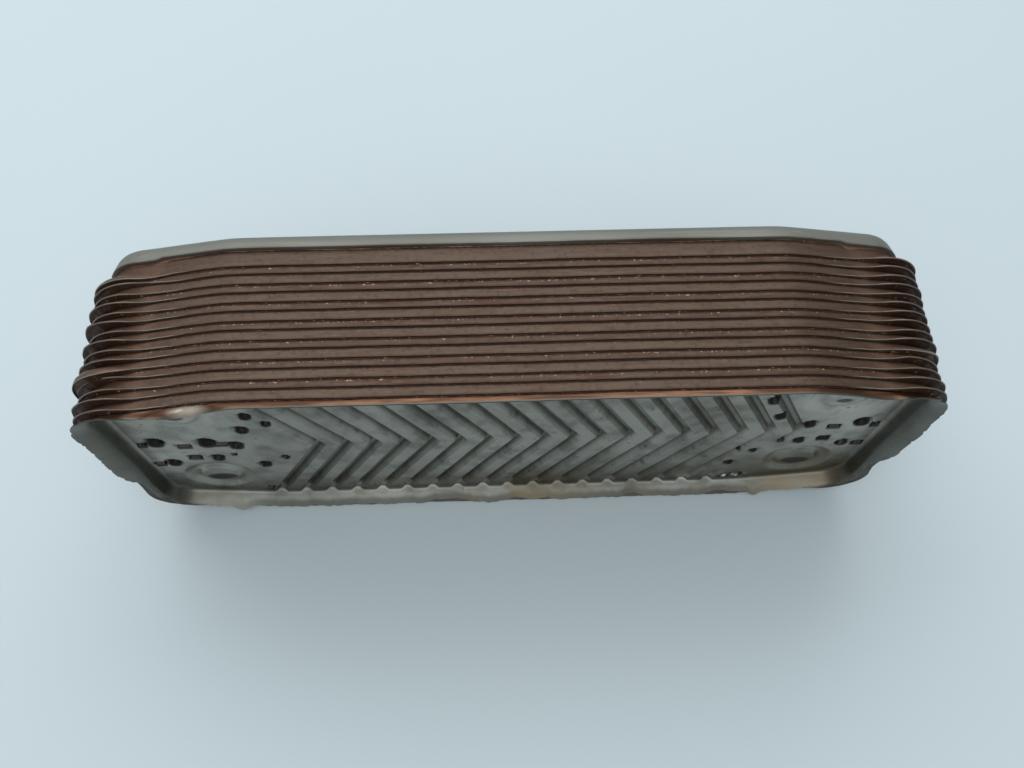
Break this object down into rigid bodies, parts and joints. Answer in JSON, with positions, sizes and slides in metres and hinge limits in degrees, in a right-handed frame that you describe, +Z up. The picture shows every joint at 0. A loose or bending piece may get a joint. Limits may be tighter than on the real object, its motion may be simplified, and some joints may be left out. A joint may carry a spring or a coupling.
{
  "type": "plate heat exchanger",
  "caption": "Brazed plate heat exchanger: nested pressed steel trays with a chevron pattern, copper seams, and a mounting plate with ports.",
  "frame": {"origin": "bottom centre of the bounding box, with the stack standing on one long edge", "axes": "+X along the plates, +Y out of the mounting plate's outer face, +Z up across the plates"},
  "size_m": [0.1916, 0.0438, 0.072],
  "materials": {
    "mounting_steel": "satin stainless sheet, bare",
    "channel_plate_steel": "stainless sheet stained by copper brazing",
    "copper_braze": "dull brazing copper",
    "end_plate_steel": "satin stainless pressing with heat stains"
  },
  "bodies": {
    "root": {"mounting_plate": "mounting_steel", "mounting_plate_seam": "copper_braze", "channel_plate_01": "channel_plate_steel", "braze_seam_01": "copper_braze", "channel_plate_02": "channel_plate_steel", "braze_seam_02": "copper_braze", "channel_plate_03": "channel_plate_steel", "braze_seam_03": "copper_braze", "channel_plate_04": "channel_plate_steel", "braze_seam_04": "copper_braze", "channel_plate_05": "channel_plate_steel", "braze_seam_05": "copper_braze", "channel_plate_06": "channel_plate_steel", "braze_seam_06": "copper_braze", "channel_plate_07": "channel_plate_steel", "braze_seam_07": "copper_braze", "channel_plate_08": "channel_plate_steel", "braze_seam_08": "copper_braze", "channel_plate_09": "channel_plate_steel", "braze_seam_09": "copper_braze", "channel_plate_10": "channel_plate_steel", "braze_seam_10": "copper_braze", "channel_plate_11": "channel_plate_steel", "braze_seam_11": "copper_braze", "channel_plate_12": "channel_plate_steel", "braze_seam_12": "copper_braze", "channel_plate_13": "channel_plate_steel", "braze_seam_13": "copper_braze", "channel_plate_14": "channel_plate_steel", "braze_seam_14": "copper_braze", "channel_plate_15": "channel_plate_steel", "braze_seam_15": "copper_braze", "blind_end_plate": "end_plate_steel"}
  },
  "joints": []
}
